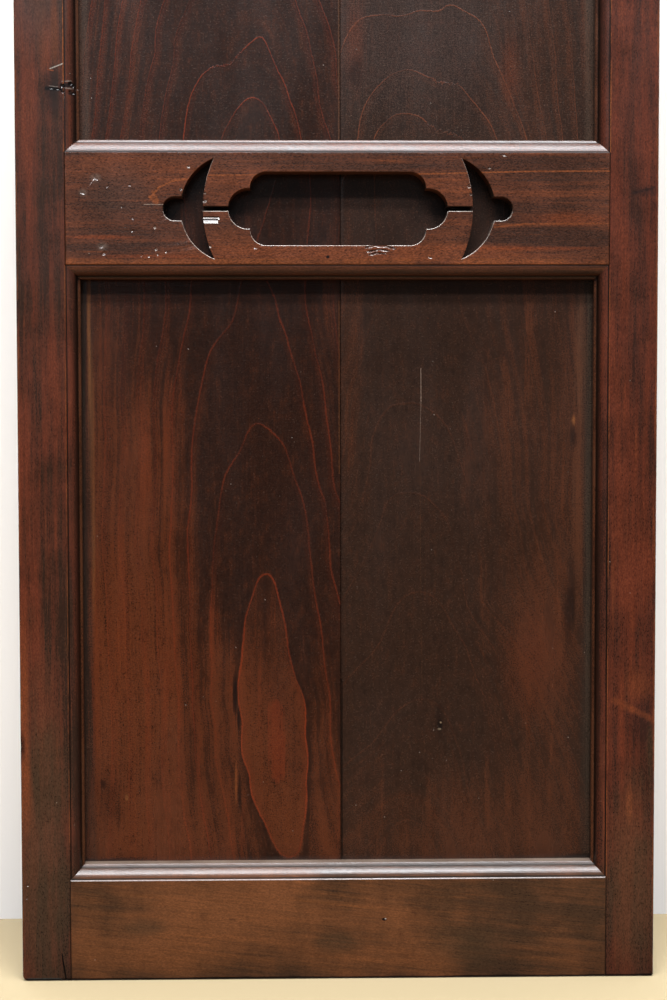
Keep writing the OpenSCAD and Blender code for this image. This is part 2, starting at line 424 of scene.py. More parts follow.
def copy_of(node, name):
    """A merged copy of a part with whole flat faces, which stands for the part."""
    piece = frame["nodes"][node].copy()
    piece.data = piece.data.copy()
    piece.name = piece.data.name = name
    piece.parent = None
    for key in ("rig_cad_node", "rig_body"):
        del piece[key]
    bpy.context.scene.collection.objects.link(piece)
    activate(piece)
    bpy.ops.object.mode_set(mode="EDIT")
    bpy.ops.mesh.select_all(action="SELECT")
    bpy.ops.mesh.customdata_custom_splitnormals_clear()
    bpy.ops.mesh.remove_doubles(threshold=0.01 * MM)
    bpy.ops.mesh.dissolve_limited(angle_limit=radians(0.3))
    bpy.ops.object.mode_set(mode="OBJECT")
    piece.data.materials.clear()
    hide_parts(node)
    return piece


def read(group, name, width=1, kind=np.float32):
    """One property of all points, edges or faces of a mesh as an array, with a row for each."""
    flat = np.empty(width * len(group), kind)
    group.foreach_get(name, flat)
    return flat.reshape(-1, width) if width > 1 else flat


def points_of(piece):
    """The places of all points."""
    return read(piece.data.vertices, "co", 3)


def edges_of(piece):
    """The two point numbers of every edge."""
    return read(piece.data.edges, "vertices", 2, np.int32)


def pick_edges(piece, chosen):
    """Goes into Edit Mode with just these edges selected."""
    activate(piece)
    bpy.context.tool_settings.mesh_select_mode = (False, True, False)
    for group in (piece.data.vertices, piece.data.polygons):
        group.foreach_set("select", np.zeros(len(group), bool))
    piece.data.edges.foreach_set("select", chosen)
    bpy.ops.object.mode_set(mode="EDIT")


def round_edges(piece, width, where, steps=3):
    """Rounds the sharp edges whose two ends both pass a test on the points' places."""
    pick_edges(piece, np.zeros(len(piece.data.edges), bool))
    bpy.ops.mesh.edges_select_sharp(sharpness=radians(35))
    bpy.ops.object.mode_set(mode="OBJECT")
    sharp = read(piece.data.edges, "select", kind=bool)
    chosen = sharp & where(points_of(piece))[edges_of(piece)].all(axis=1)
    pick_edges(piece, chosen)
    bpy.ops.mesh.bevel(offset=width, segments=steps, affect="EDGES")
    bpy.ops.object.mode_set(mode="OBJECT")


def near(values, target, margin=0.05 * MM):
    """Which values lie at a target."""
    return np.abs(values - target) < margin


def cut_away(piece, cutters):
    """Joins the cutters and takes them out of a piece."""
    activate(cutters[0])
    for cutter in cutters:
        cutter.select_set(True)
    if len(cutters) > 1:
        bpy.ops.object.join()
    waste = bpy.context.object
    activate(piece)
    cut = piece.modifiers.new("cut", "BOOLEAN")
    cut.object, cut.operation, cut.solver, cut.use_self = waste, "DIFFERENCE", "EXACT", True
    bpy.ops.object.modifier_apply(modifier="cut")
    bpy.data.objects.remove(waste)


LARGE_FACE = 400 * MM * MM


def settle(piece, finish):
    """Shades a piece, its large faces flat, gives it its finish and lets it ride with the leaf."""
    activate(piece)
    bpy.ops.object.shade_smooth_by_angle(angle=radians(32))
    small = read(piece.data.polygons, "area") < LARGE_FACE
    piece.data.polygons.foreach_set("use_smooth", small)
    piece.data.materials.clear()
    piece.data.materials.append(finish)
    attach(piece, "root")
    print(f"{piece.name}: {len(piece.data.vertices)} points, {len(piece.data.polygons)} faces")


# %% [markdown]
# ## Rings of the boards
# Both boards were sawn beside the heart of the log, so the yearly rings come out as arches, one
# inside the other. A wave texture gives arches too, but never these. Every ring is a level line of
# one smooth field, the ring's number. So the field is given its number at some points along the
# rings that show, and a thin-plate spline, which bends like a sheet of springy metal, fills in
# the rest. Each line below is a ring number and points along it, in millimetres on the leaf.

# %% Ring lines on the two boards
LEFT_RINGS = (
    (3, ((-127, 930), (-118, 947), (-105, 966), (-93, 973), (-81, 966), (-70, 947), (-64, 930),
         (-68, 752), (-56, 710), (-41, 659), (-29, 596), (-15, 531), (-8, 454))),
    (3, ((-109, 757), (-119, 723), (-141, 693), (-153, 647), (-162, 583), (-167, 497), (-165, 390),
         (-162, 304), (-151, 175))),
    (4, ((-169, 930), (-159, 977), (-144, 1001), (-132, 1007), (-120, 1008), (-108, 1019),
         (-92, 1035), (-82, 1038), (-77, 1030), (-65, 1001), (-53, 970), (-40, 930), (-36, 748),
         (-24, 689), (-13, 624), (-3, 540))),
    (4, ((-162, 757), (-171, 706), (-183, 583), (-185, 497), (-183, 390), (-178, 304),
         (-167, 152))),
    (5, ((-161, 1078), (-179, 1032), (-187, 982), (-195, 929), (-190, 739), (-204, 625),
         (-207, 476))),
    (5, ((-46, 1078), (-34, 1047), (-22, 993), (-8, 930), (-95, 1230))),
    (6, ((-189, 1078), (-200, 1020), (-218, 929), (-215, 710), (-220, 604), (-219, 433))),
    (6, ((-20, 1079), (0, 993), (-100, 1400))),
    (7, ((-214, 1078), (-226, 1019), (-238, 929), (-105, 1580))),
    (8, ((-235, 1078), (-244, 1013), (-254, 929), (-255, 732), (-257, 604), (-256, 391),
         (-252, 239))),
    (9, ((-254, 1078), (-266, 948))),
    (10, ((-269, 1078), (-277, 1013))),
    (2, ((-77, 610), (-109, 583), (-126, 553), (-135, 497), (-140, 433), (-141, 304), (-136, 239),
         (-123, 175), (-118, 135))),
    (2, ((-58, 587), (-41, 536), (-29, 455), (-18, 381), (-11, 320), (-4, 238))),
    (1, ((-80, 448), (-96, 422), (-103, 399), (-108, 346), (-106, 283), (-100, 222), (-85, 174),
         (-65, 135))),
    (1, ((-71, 439), (-59, 390), (-46, 329), (-37, 269), (-36, 217), (-39, 165), (-46, 134))),
    (0, ((-71, 304), (-76, 262), (-73, 222), (-68, 216), (-61, 228), (-59, 262), (-65, 301))),
)
RIGHT_RINGS = (
    (3, ((27, 1059), (43, 1062), (60, 1063), (69, 1061), (88, 1067), (112, 1067), (123, 1074),
         (139, 1067), (162, 1050), (172, 1017), (194, 966), (208, 930), (215, 729), (231, 530))),
    (2, ((23, 930), (30, 963), (48, 988), (64, 1000), (78, 1003), (95, 997), (112, 990), (121, 989),
         (129, 990), (143, 975), (158, 958), (168, 945), (175, 930))),
    (1, ((40, 930), (52, 945), (66, 954), (78, 955), (92, 951), (105, 939), (120, 935), (135, 930),
         (137, 739), (162, 680), (175, 629), (186, 569), (197, 496), (210, 431))),
    (1, ((38, 731), (17, 668), (8, 591))),
    (0, ((77, 638), (54, 630), (38, 597), (27, 530), (102, 630), (122, 608), (138, 563), (154, 496),
         (165, 418))),
    (-1, ((77, 538), (56, 528), (40, 486), (102, 530), (123, 502), (138, 446))),
    (-2, ((94, 427), (67, 414), (45, 368), (120, 407), (141, 368), (156, 328))),
    (-3, ((94, 307), (65, 293), (40, 260), (121, 288), (139, 238), (148, 194))),
    (-4, ((79, 171), (58, 158), (45, 134), (96, 160), (110, 133))),
    (4, ((205, 1079), (216, 1014), (230, 930), (242, 718), (253, 507), (100, 1240))),
    (5, ((232, 1079), (241, 1014), (248, 930), (95, 1420))),
    (6, ((251, 1079), (258, 1014), (265, 930), (100, 1600))),
)


def ring_field(rings, x, z):
    """Ring number at the places x, z, and how many rings pass per metre there."""
    given = np.array([(*p, k) for k, line in rings for p in line], float) / (100, 100, 1)
    knots, number = given[:, :2], given[:, 2]
    gap = knots[:, None] - knots[None]
    far = np.maximum((gap ** 2).sum(2), 1e-12)
    plane = np.c_[np.ones(len(knots)), knots]
    stiff = np.block([[far * np.log(far) / 2 + 1e-4 * np.eye(len(knots)), plane],
                      [plane.T, np.zeros((3, 3))]])
    weights = np.linalg.solve(stiff, np.r_[number, 0, 0, 0])
    spread, flat = weights[:-3], weights[-3:]
    gap = np.c_[x, z][:, None] * 10 - knots[None]
    far = np.maximum((gap ** 2).sum(2), 1e-12)
    value = (far * np.log(far) / 2) @ spread + flat[0] + np.c_[x, z] * 10 @ flat[1:]
    rise = np.einsum("ijk,ij,j->ik", gap, np.log(far) + 1, spread) + flat[1:]
    return value, np.hypot(*rise.T) * 10


# %% [markdown]
# ## Boards
# A board is a copy of its part. Its long edge at the seam is eased with a plane stroke. The copy's
# front is one big face, so it is cut into small squares, as loop cuts would do it by hand. Each
# point can then carry the ring number and the rings per metre for the finish.

# %% Board pieces
# Front edge of the right board at the seam, and the numbers of cuts for its small squares
SEAM = 3.4 * MM
ROWS, ROW_PARTS, COLUMNS = 15, 22, 68


def cut_along(piece, axis, cuts, where=None):
    """Cuts the straight edges that run along an axis into equal lengths."""
    points, pairs = points_of(piece), edges_of(piece)
    run = points[pairs[:, 1]] - points[pairs[:, 0]]
    chosen = np.abs(run[:, axis]) > 0.999 * np.linalg.norm(run, axis=1)
    if where is not None:
        chosen &= where(points)[pairs].all(axis=1)
    pick_edges(piece, chosen)
    bpy.ops.mesh.subdivide(number_cuts=cuts)
    bpy.ops.object.mode_set(mode="OBJECT")


def carry(piece, domain, numbers):
    """Stores named numbers on a mesh, one for each point or face, for its finish to read."""
    for name, data in numbers.items():
        layer = piece.data.attributes.new(name, "FLOAT", domain)
        layer.data.foreach_set("value", data.astype(np.float32))


def make_board(node, rings):
    """A board with an eased seam edge and a front of small squares that carry their ring."""
    board = copy_of(node, node + "_planed")
    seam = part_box(node)[1].x if node == "left_board" else SEAM
    round_edges(board, 0.5 * MM, lambda p: near(p[:, 1], BOARD) & near(p[:, 0], seam), 2)
    cut_along(board, 2, ROWS)
    cut_along(board, 2, ROW_PARTS)
    cut_along(board, 0, COLUMNS, lambda p: near(p[:, 1], BOARD))
    points = points_of(board)
    value, rate = ring_field(rings, points[:, 0], points[:, 2])
    carry(board, "POINT", {"ring_number": value, "ring_rate": rate})
    return board


left_board = make_board("left_board", LEFT_RINGS)
right_board = make_board("right_board", RIGHT_RINGS)
print("boards:", left_board.name, right_board.name)

# %% [markdown]
# ## Finish of the boards
# On the dark stained wood the late wood of each ring shows as a thin red-brown line. The distance
# to the nearest whole ring number, divided by the rings per metre, is a distance in metres, so the
# line keeps its width where the rings spread. The stain is thin at the sides of the lower panel,
# where warm wood shows through, and thick in the middle. Zones of warmth give that. Scratches
# across the grain, dirt along the panel's edges, a crack and pale specks go on top.

# %% Rings in the finish
# Where a ring line is torn: centre and half sizes in millimetres
TORN = ((-118, 1010, 26, 14), (118, 938, 22, 14), (118, 990, 16, 8))


def bent_rings(place, x, z):
    """Ring number with the sway of grown wood, and the distance in metres to the nearest ring."""
    ring, rate = attribute(place, "ring_number"), attribute(place, "ring_rate")
    sway = noise(place, (35, 35, 14), 3) - 0.5
    ragged = noise(place, (330, 330, 150), 3, 0.7) - 0.5
    torn = sum(patch(x, z, spot, 0.4) for spot in TORN)
    bent = ring + (sway * 4.5 * MM + ragged * (torn * 12 * MM + 2 * MM)) * rate
    return bent, bent.math("PINGPONG", bent, 0.5) / rate


# %% Board finish


def board_finish(name, stain, dark, warm, line, shares, zones, marks, strokes):
    """Stained board with ring lines. Zones add warmth, marks and strokes lay colours over it.

    The shares say how strong the lines are above and below the belt, and at which ring they fade.
    """
    material, place, (x, _, z) = start_finish(name)
    share_above, share_below, fade = shares
    bent, distance = bent_rings(place, x, z)
    upper = ease(z, BELT_LOW, BELT_HIGH)
    clouds = noise(place, (14, 14, 4.5), 4, 0.6)
    fibres = noise(place, (520, 520, 10), 3, 0.65)
    bands = noise(bent.node("CombineXYZ", None, {0: bent * 4.3, 1: z * 1.1}), (1, 1, 1), 4, 0.7)
    across = noise(place, (60, 60, 620), 3, 0.6)
    streaks = noise(place, (85, 85, 4.5), 4, 0.62, (7, 1, 2))
    dapple = fibres * 0.4 + noise(place, (150, 150, 80), 4, 0.6) * 0.6

    # The island is the tongue of heart wood at the foot of the left board
    island = ease(bent, 1.04, 0.98) * ease(z, 0.47, 0.44) * ease(x, 2 * MM, 0.0)
    core = island * ease(bent + (fibres - 0.5) * 0.3, 0.08, -0.02)
    warmth = (bands - 0.5) * (1.4 - island * 1.25) + (clouds - 0.5) * 1.2 + (fibres - 0.5) * 0.6
    warmth = warmth + (streaks - 0.5) * 0.8 + island * 0.6 + 0.06
    warmth = warmth + sum(patch(x, z, spot, soft) * amount for *spot, amount, soft in zones)

    # A ring is a thread of late wood with a soft shade on its inner side
    share = upper * (share_above - share_below) + share_below + island * 0.45
    share = share * (1 - span(z, BELT_LOW / MM, BELT_HIGH / MM, 4) * 0.5)
    inner = ease((bent + 0.5).math("FRACT", bent + 0.5), 0.5, 0.34) * ease(distance, 8 * MM, 0.0)
    thread = ease(distance, 1.7 * MM - upper * 0.75 * MM, 0.1 * MM)
    thread = thread * (1 - island * ease(bent, 0.6, 0.4))
    strength = ease(noise(place, (24, 24, 7), 3, 0.6, (3, 0, 1)), 0.32, 0.62, 0.3, 1)
    strength = strength * ease(bent, fade, fade + 0.5, 1.0, 0.5)
    wobble = (clouds - 0.5) * 1.2 + (fibres - 0.5) * 1.8
    coats = [
        (line, ease(streaks, 0.54, 0.72) * (1 - upper) * ease(warmth, 0.1, 0.7) * 0.16),
        (line, core * 0.32),
        ("070405", ease(dapple, 0.46, 0.7) * 0.35),
        (warm, ease(dapple, 0.5, 0.3) * 0.3),
        ("7b6a63", ease(across, 0.56, 0.8) * (upper * 0.1 + 0.03)),
        (line, inner * share * 0.22),
        (line, thread * strength * share),
        *((tone, patch(x, z, spot, soft, wobble) * amount) for *spot, tone, amount, soft in marks),
    ]

    # Dirt along the panel's edges, then scratches, dust and grit
    stray = (clouds - 0.5) * 12 * MM
    brink = ease(abs(x) + stray, FIELD - 13 * MM, FIELD - 7 * MM)
    sill = ease(z + stray, FOOT_FIELD + 6 * MM, FOOT_FIELD + MM)
    scuff = noise(place, (480, 480, 580), 3, 0.7, (9, 4, 3))
    dust = specks(place, 17, 0.75, 0.36)
    coats += [
        (blend("332c27", "5a4a40", upper), brink * 0.4),
        ("0d0908", sill * ease(abs(x), 0.17, 0.27, 0.15, 0.75)),
        *((tone, stroke(x, z, run, width) * amount) for *run, width, tone, amount in strokes),
        ("8a7a70", ease(scuff, 0.53, 0.78) * (upper * 0.17 + 0.16)),
        ("9a8c84", dust * 0.7),
        ("8a4a28", specks(place, 11, 0.55, 0.2) * 0.65),
        ("85766b", specks(place, 7, 0.42, 0.36) * 0.7),
    ]
    rough = ease(clouds, 0.3, 0.7, 0.2, 0.28) + dust * 0.3
    height = fibres * 0.3 + across * 0.25 + thread * 0.2 + dust * 0.6
    height = height + noise(place, (9, 9, 5), 2) * 3
    tooth = (noise(place, (700, 700, 760), 3, 0.7, (2, 1, 6)) - 0.5) * (upper * 0.9 + 2.3)
    bare = blend(dark, warm, ease(warmth, 0.0, 1.0))
    lacquer(material, bare, coats, rough, height + tooth * 0.1, 0.25 * MM, stain, tooth)
    return material


# %% Marks on the boards
# All tables of marks hold places and sizes in millimetres on the front of the leaf.
# A zone has its centre and half sizes, an amount of warmth and a softness.
# A mark has its centre and half sizes, a colour, a share and a softness.
# A stroke has its two ends, a half width, a colour and a share.
RED, SOOT, OCHRE, PALE = "7a3a20", "100c0d", "8f5a34", "a8958a"
left_zones = (
    (-225, 520, 75, 330, 0.48, 0.7), (-215, 260, 95, 190, 0.4, 0.7), (-75, 540, 75, 190, -0.5, 0.6),
    (-110, 140, 200, 60, 0.35, 0.7), (-13, 640, 12, 120, 0.35, 0.7), (-12, 250, 16, 190, 0.42, 0.7),
    (-125, 290, 22, 110, 0.35, 0.7), (-30, 330, 16, 90, 0.14, 0.7), (-215, 720, 60, 80, -0.25, 0.7),
    (-90, 940, 60, 60, -0.25, 0.7), (-250, 1000, 40, 150, 0.25, 0.7),
)
left_marks = (
    (-115, 312, 2.8, 22, SOOT, 0.85, 0.6), (-111, 285, 1.8, 14, SOOT, 0.8, 0.6),
    (-114, 214, 1.4, 17, "8f4f2a", 0.6, 0.7), (-110, 205, 1.3, 18, SOOT, 0.6, 0.6),
    (-262, 214, 3, 5, SOOT, 0.55, 0.7), (-256, 195, 9, 26, SOOT, 0.35, 0.8),
    (-246, 178, 2.5, 16, SOOT, 0.4, 0.7), (-236, 198, 1.6, 3, OCHRE, 0.6, 0.6),
    (-274, 690, 1.9, 80, "9c6238", 0.85, 0.6), (-272, 620, 3, 80, OCHRE, 0.45, 0.7),
    (-282, 470, 4, 320, "221f1d", 0.7, 0.6), (-271, 480, 2.0, 70, OCHRE, 0.4, 0.7),
    (-268, 330, 3, 120, RED, 0.4, 0.7), (-215, 545, 4, 60, RED, 0.4, 0.7),
    (-190, 590, 3, 50, RED, 0.4, 0.7), (-240, 430, 5, 90, RED, 0.35, 0.7),
)
left_strokes = (
    (1.6, 750, 1.6, 560, 0.9, OCHRE, 0.24), (1.6, 1080, 1.6, 910, 1.2, "6a4a38", 0.6),
)
right_zones = (
    (225, 560, 60, 270, 0.35, 0.7), (170, 150, 190, 70, 0.5, 0.7), (225, 340, 55, 110, 0.25, 0.7),
    (225, 1010, 60, 110, 0.3, 0.7), (80, 500, 60, 230, -0.2, 0.7), (15, 660, 10, 160, 0.3, 0.7),
)
right_marks = (
    (268, 545, 6, 105, "74452f", 0.4, 0.8), (222, 350, 26, 50, RED, 0.2, 0.8),
    # The greyish mark at 80, 1040 is a painted sheen on the upper board.
    (80, 1040, 90, 70, "6a6468", 0.1, 0.8), (270, 690, 7, 60, "6a4634", 0.5, 0.6),
    (257, 405, 6, 26, SOOT, 0.5, 0.7), (262, 425, 3, 30, SOOT, 0.4, 0.7),
    (262, 600, 4, 12, SOOT, 0.6, 0.6), (262, 618, 2, 5, OCHRE, 0.6, 0.6),
    (19, 1036, 9, 42, RED, 0.25, 0.8), (20, 1000, 7, 16, SOOT, 0.5, 0.6),
    (190, 1000, 8, 30, RED, 0.22, 0.8), (281, 480, 5, 320, "574c42", 0.5, 0.6),
    (114, 278, 2.6, 6, SOOT, 0.75, 0.4), (114.6, 281, 1.0, 1.0, "b09a80", 0.8, 0.4),
    (113.4, 273.5, 1.6, 1.2, "8d7f6e", 0.6, 0.4), (114, 292, 4, 9, SOOT, 0.4, 0.6),
)
right_strokes = (
    (92.1, 676, 92.3, 640, 0.5, PALE, 0.6), (92.3, 640, 90.8, 573, 0.45, PALE, 0.3),
    (91.2, 573, 92.5, 418, 0.7, OCHRE, 0.06), (92.5, 418, 93.7, 324, 0.6, OCHRE, 0.05),
    (4.4, 590, 4.4, 330, 0.6, SOOT, 0.5), (4.4, 330, 4.4, 115, 1.0, "050303", 0.85),
)
left_wood = board_finish("left_board_stain", (0.4, 0.38, 0.35), "321c14", "66341d",
                         "8f381c", (0.8, 0.36, 4.4), left_zones, left_marks, left_strokes)
right_wood = board_finish("right_board_stain", (0.45, 0.42, 0.38), "36241c", "532e1d",
                          "85482d", (0.65, 0.09, 3.4), right_zones, right_marks, right_strokes)
settle(left_board, left_wood)
settle(right_board, right_wood)

# %% [markdown]
# ## Wood of the frame
# Stiles and rails show long straight grain, red streaks on dark brown, with black dirt in the
# pores and orange wood where hands and feet have rubbed the stain off an arris. One function
# makes all of these, and each piece turns the grain along its own length. Where a piece is cut
# across, its end grain shows rings and open pores. A number on each face will say where that is.

# %% Wear, painted light and shade, and end grain of the frame
# How deep the rubbed skin of the face is, how far the painted shade lines lie from the moulding's
# two sides, and how far apart the rings are
SKIN = FRONT + 0.8 * MM
QUIRK, LEDGE = 0.8 * MM, 3 * MM
RING_PITCH = 2.7 * MM


def end_grain(u, v, clouds, pores):
    """Colour of wood cut across, with open pores and rings about a heart beside the piece."""
    years = length(u - 90 * MM, v - 20 * MM) / RING_PITCH + clouds * 2
    cross = blend("2c1b13", "5b3c27", ease(years.math("PINGPONG", years, 0.5), 0.05, 0.4))
    return blend(cross, "0b0705", ease(pores, 0.52, 0.66) * 0.6)


def painted_groove_shade(axes, along):
    """1 in the quirk and beside the fillet: painted shade, with the soil that gathers in such
    grooves.
    """
    x, y, z = axes
    if along == 2:
        across, lines = abs(x), (FACE - QUIRK, FIELD + LEDGE)
    else:
        across, lines = z, (FACE_LOW - QUIRK, FACE_HIGH + QUIRK, FOOT_FACE + QUIRK,
                            BELT_LOW + LEDGE, BELT_HIGH - LEDGE, FOOT_FIELD - LEDGE)
    crease_shade = sum(ease(abs(across - line), 1.1 * MM, 0.4 * MM) for line in lines)
    return crease_shade * ease(y, FRONT, SKIN)


def stile_wear(axes, rub, fibre, clouds, worn):
    """Coats on a stile: dark joints with the rails, rubbed arrises and a painted fillet highlight.
    """
    x, y, z = axes
    beside = ease(z, FOOT_FACE, FOOT_FACE + MM) * (1 - span(z, FACE_LOW / MM, FACE_HIGH / MM, 1))
    joint = span(abs(x), FACE / MM - 1, FACE / MM + 0.4, 0.4) * (1 - beside)
    arris = span(abs(x), FACE / MM - 0.4, FACE / MM + 0.7, 0.5) * beside
    brow = ease(y, FRONT + 1.3 * MM, FRONT + 0.7 * MM) * (ease(z, 0.8, 0.95) * 0.45 + 0.5)
    edge = span(abs(x) + (fibre - 0.5) * 3 * MM, high.x / MM - 1.6, high.x / MM + 1, 0.8)
    edge = edge * ease(y, FRONT + 3 * MM, SKIN)
    # A pale painted highlight along the fillet's front, at the boards
    fillet_glint = span(abs(x), FIELD / MM - 0.3, FIELD / MM + 2.4, 0.6)
    fillet_glint = fillet_glint * ease(y, BOARD - 4 * MM, BOARD - 9 * MM)
    return [("0a0706", joint * 0.75), (rub, (arris * brow + edge * 0.45) * worn),
            (rub, fillet_glint * ease(clouds, 0.3, 0.6, 0.08, 0.25))]


def rail_wear(axes, rub, worn):
    """One coat on a rail: the rubbed stretch along the lower edge of the belt's face."""
    _, y, z = axes
    lower = span(z, FACE_LOW / MM + 0.3, FACE_LOW / MM + 5, 3) * ease(y, FRONT + 3 * MM, SKIN)
    return [(rub, lower * worn * 0.35)]


# %% Frame finish


def frame_finish(name, stain, along, dark, warm, rub, weave, darkening_share,
                 zones=(), marks=(), strokes=(), slant=0.0):
    """Straight-grained stained wood with the grain along an axis, 0 for x and 2 for z.

    The weave says how much of the broad, streaky, cloudy and fibrous pattern there is, and then how
    strong the dark pores and the fine tooth are.
    """
    material, place, axes = start_finish(name)
    x, y, z = axes
    *weights, pore_share, bite = weave
    turned = place.node("Mapping", None, {"Vector": place, "Rotation": (0, radians(slant), 0)})

    def grain(fine, long, detail=3, shift=(0, 0, 0)):
        scale = [fine] * 3
        scale[along] = long
        return noise(turned, scale, detail, 0.62, shift)

    broad, streak = grain(60, 4, 4), grain(200, 7, 4, (4, 1, 2))
    fibre = grain(500, 12, 3, (1, 1, 1))
    hair = grain(1100, 26, 3, (2, 5, 3)) * 0.6 + fibre * 0.4
    clouds = noise(place, (13, 13, 13), 4, 0.6)
    pattern = zip((broad, streak, clouds, fibre), weights)
    warmth = sum((wire - 0.5) * weight for wire, weight in pattern) + 0.5
    warmth = warmth + sum(patch(x, z, spot, soft) * amount for *spot, amount, soft in zones)

    soot = ease(noise(place, (24, 24, 24), 5, 0.7, (5, 2, 1)), 0.56, 0.72)
    worn = ease(noise(place, (21, 21, 21), 3, 0.6, (1, 7, 3)), 0.36, 0.58)
    wobble = (clouds - 0.5) * 1.1 + (fibre - 0.5) * 0.6
    moulded = ease(y, BOARD + 4 * MM, BOARD)
    # Painted shade in the moulding's hollow, with dirt: the deeper behind the face, the darker
    recess_shade_and_dirt = ease(y, SKIN, FRONT + 9 * MM) * moulded
    # Painted shade, with dirt, along the quirks and beside the fillets
    crease_shade = painted_groove_shade(axes, along)
    coats = [
        (rub, ease(streak + (fibre - 0.5) * 0.4, 0.6, 0.8) * 0.3),
        ("080504", ease(hair, 0.47, 0.66) * pore_share),
        (rub, ease(hair, 0.46, 0.32) * 0.6 * pore_share),
        ("1c130f", soot * 0.25),
        *((tone, patch(x, z, spot, soft, wobble) * amount) for *spot, tone, amount, soft in marks),
        *((tone, stroke(x, z, run, width, wobble) * amount)
          for *run, width, tone, amount in strokes),
        # Painted shade with dirt in the hollow, then painted shade in the grooves
        ("1a100c", recess_shade_and_dirt * ease(clouds, 0.3, 0.6, darkening_share - 0.15, darkening_share)),
        ("060403", crease_shade * 0.8),
    ]
    if along == 2:
        coats += stile_wear(axes, rub, fibre, clouds, worn)
    else:
        coats += rail_wear(axes, rub, worn)

    end, ledge, painted_glint = (attribute(place, n) for n in ("end_grain", "ledge_light_and_dust", "upward_edge_glint"))
    pores = noise(place, (1500, 1500, 1500), 2)
    dust = specks(place, 21, 0.75, 0.32)
    coats += [
        # Painted shadow along the foot, where the leaf meets the floor
        ("050404", ease(z + (clouds - 0.5) * 3 * MM, 3.4 * MM, 1.6 * MM) * 0.85),
        (end_grain(*((x, y) if along == 2 else (y, z)), clouds, pores), end),
        # Painted light from above, with dust, on the ledges that look up
        ("8a7767", ledge * ease(clouds, 0.25, 0.6, 0.45, 0.9)),
        # A pale painted highlight on the edges that look up and forward
        ("e6dcd6", painted_glint * 0.5),
        ("a49589", dust * 0.75),
    ]
    hollow = ease(y, FRONT + 0.2 * MM, SKIN) * moulded
    rough = ease(clouds, 0.3, 0.7, 0.2, 0.27) + dust * 0.3 + end * 0.3
    rough = rough + (hollow * 0.11 + crease_shade * 0.2 if along == 0 else hollow * 0.02)
    height = hair * 0.5 + streak * 0.3 + dust * 0.5 + end * pores * 0.6
    height = height + noise(place, (16, 16, 16), 2) * 2
    tooth = (grain(850, 420, 3, (6, 3, 1)) - 0.5) * bite
    bare = blend(dark, warm, ease(warmth, 0.05, 0.95))
    lacquer(material, bare, coats, rough, height + tooth * 0.3, 0.22 * MM, stain, tooth)
    return material


# %% Marks on the frame
OLIVE, DUSK, EMBER = "3e2f20", "241917", "8c4526"
# The first and the last of these three colours are pale, for painted highlights
PAINTED_GLINT, ORANGE, DENT_GLINT = "b9a99d", "96522c", "8d8078"
left_stile_zones = (
    (-325, 560, 30, 250, 0.1, 0.8), (-325, 110, 30, 200, -0.05, 0.6),
    (-320, 800, 30, 130, -0.2, 0.7),
)
left_stile_marks = (
    (-325, 130, 26, 200, "563f2e", 0.5, 0.5), (-345, 290, 4, 90, EMBER, 0.55, 0.6),
    (-344, 200, 5, 40, EMBER, 0.4, 0.6), (-325, 1090, 32, 60, "4a3c37", 0.6, 0.7),
    (-322, 1080, 9, 60, EMBER, 0.15, 0.6), (-306, 1040, 4, 40, EMBER, 0.4, 0.6),
    (-317, 1010, 6, 40, EMBER, 0.2, 0.6), (-310, 985, 10, 17, DUSK, 0.65, 0.5),
    (-308, 965, 12, 14, DUSK, 0.5, 0.6), (-348, 262, 3, 14, SOOT, 0.6, 0.5),
)
left_stile_strokes = (
    # The first stroke is a pale painted highlight above the knot.
    (-311, 999, -297, 1004.5, 0.9, PAINTED_GLINT, 0.85), (-313, 998, -308, 997, 1.2, EMBER, 0.8),
    (-315, 978, -298, 976.5, 2.6, SOOT, 0.9), (-306.4, 30, -302.2, 2, 1.0, SOOT, 0.9),
    (-299, 981, -281, 983, 3.4, SOOT, 0.9), (-290, 973, -280, 971, 2.4, SOOT, 0.85),
    (-298, 985.4, -289, 986.4, 0.8, PALE, 0.6), (-296, 978.6, -287, 978, 0.8, PALE, 0.55),
    # The bluish stroke along the foot is a painted reflection on the rounded lower edge.
    (-312, 980.6, -303, 979.6, 0.6, PALE, 0.4), (-344, 2, -308, 2, 1.1, "5f6a68", 0.6),
)
right_stile_zones = (
    (325, 520, 30, 200, 0.05, 0.8), (325, 930, 30, 180, 0.08, 0.8),
)
right_stile_marks = (
    (335, 285, 14, 26, DUSK, 0.55, 0.6), (330, 325, 14, 16, EMBER, 0.3, 0.7),
    (322, 190, 4, 20, EMBER, 0.6, 0.6), (345, 260, 4, 26, OLIVE, 0.6, 0.6),
    (325, 100, 26, 100, "5a412c", 0.45, 0.6), (336, 868, 12, 5, DUSK, 0.5, 0.6),
)
right_stile_strokes = (
    (305, 309, 325, 299, 5.5, EMBER, 0.35), (325, 299, 349, 287, 5.5, EMBER, 0.4),
    (322, 866, 345, 872, 2.0, DUSK, 0.5),
)
rail_zones = (
    (-130, 60, 160, 60, 0.25, 0.7), (220, 55, 80, 60, -0.3, 0.7), (0, 8, 330, 9, -0.12, 0.6),
    (-235, 60, 40, 30, -0.12, 0.6),
)
rail_marks = (
    (-215, 58, 24, 9, OLIVE, 0.5, 0.6), (0, 40, 22, 10, OLIVE, 0.5, 0.6),
    (140, 35, 40, 22, OLIVE, 0.5, 0.7), (-150, 71, 5, 5, SOOT, 0.3, 0.8),
    (-118, 67, 5, 1.2, SOOT, 0.5, 0.7), (50, 66, 2.4, 1.6, SOOT, 0.9, 0.4),
    # A pale painted highlight in the small dark hole
    (51.6, 66.6, 0.9, 0.7, PAINTED_GLINT, 0.8, 0.4),
)
